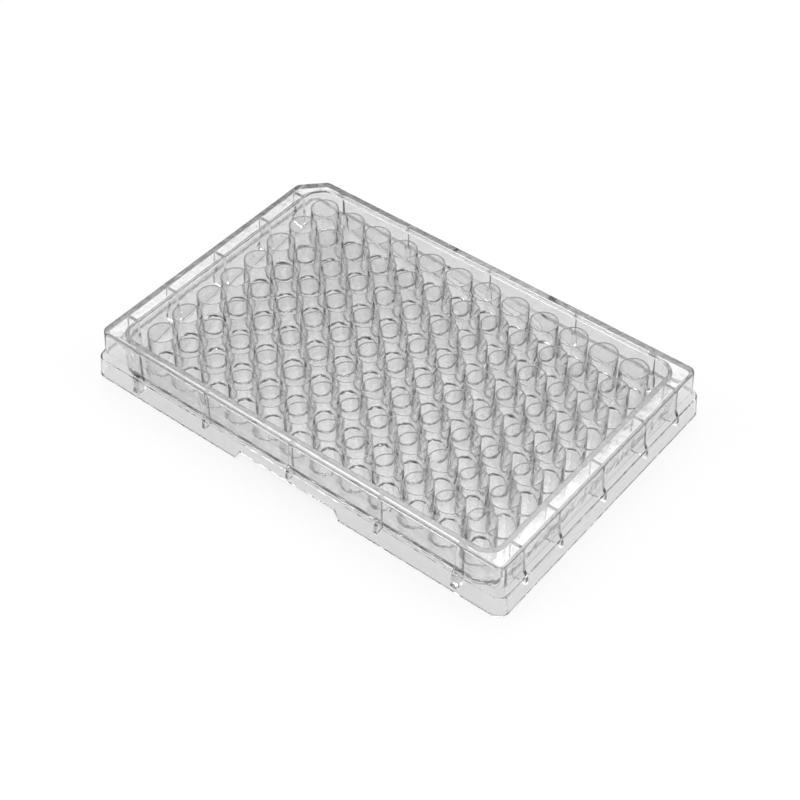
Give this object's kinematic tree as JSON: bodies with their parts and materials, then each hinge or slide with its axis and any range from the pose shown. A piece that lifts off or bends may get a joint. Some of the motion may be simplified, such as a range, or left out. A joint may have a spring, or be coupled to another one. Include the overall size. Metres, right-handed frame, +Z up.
{
  "type": "well plate",
  "caption": "Clear one-piece laboratory microplate: free-standing flat-bottomed round wells on a thin floor, in a double-walled skirt with one keyed corner.",
  "frame": {"origin": "on the resting plane, at the middle of the footprint", "axes": "+X along the long side from column 1 to column 12, +Y across from row H to row A, +Z up out of the wells"},
  "size_m": [0.1278, 0.0854, 0.0143],
  "materials": {
    "clear_polystyrene": "clear, colourless and glossy, as moulded"
  },
  "bodies": {
    "root": {"plate": "clear_polystyrene"}
  },
  "joints": []
}
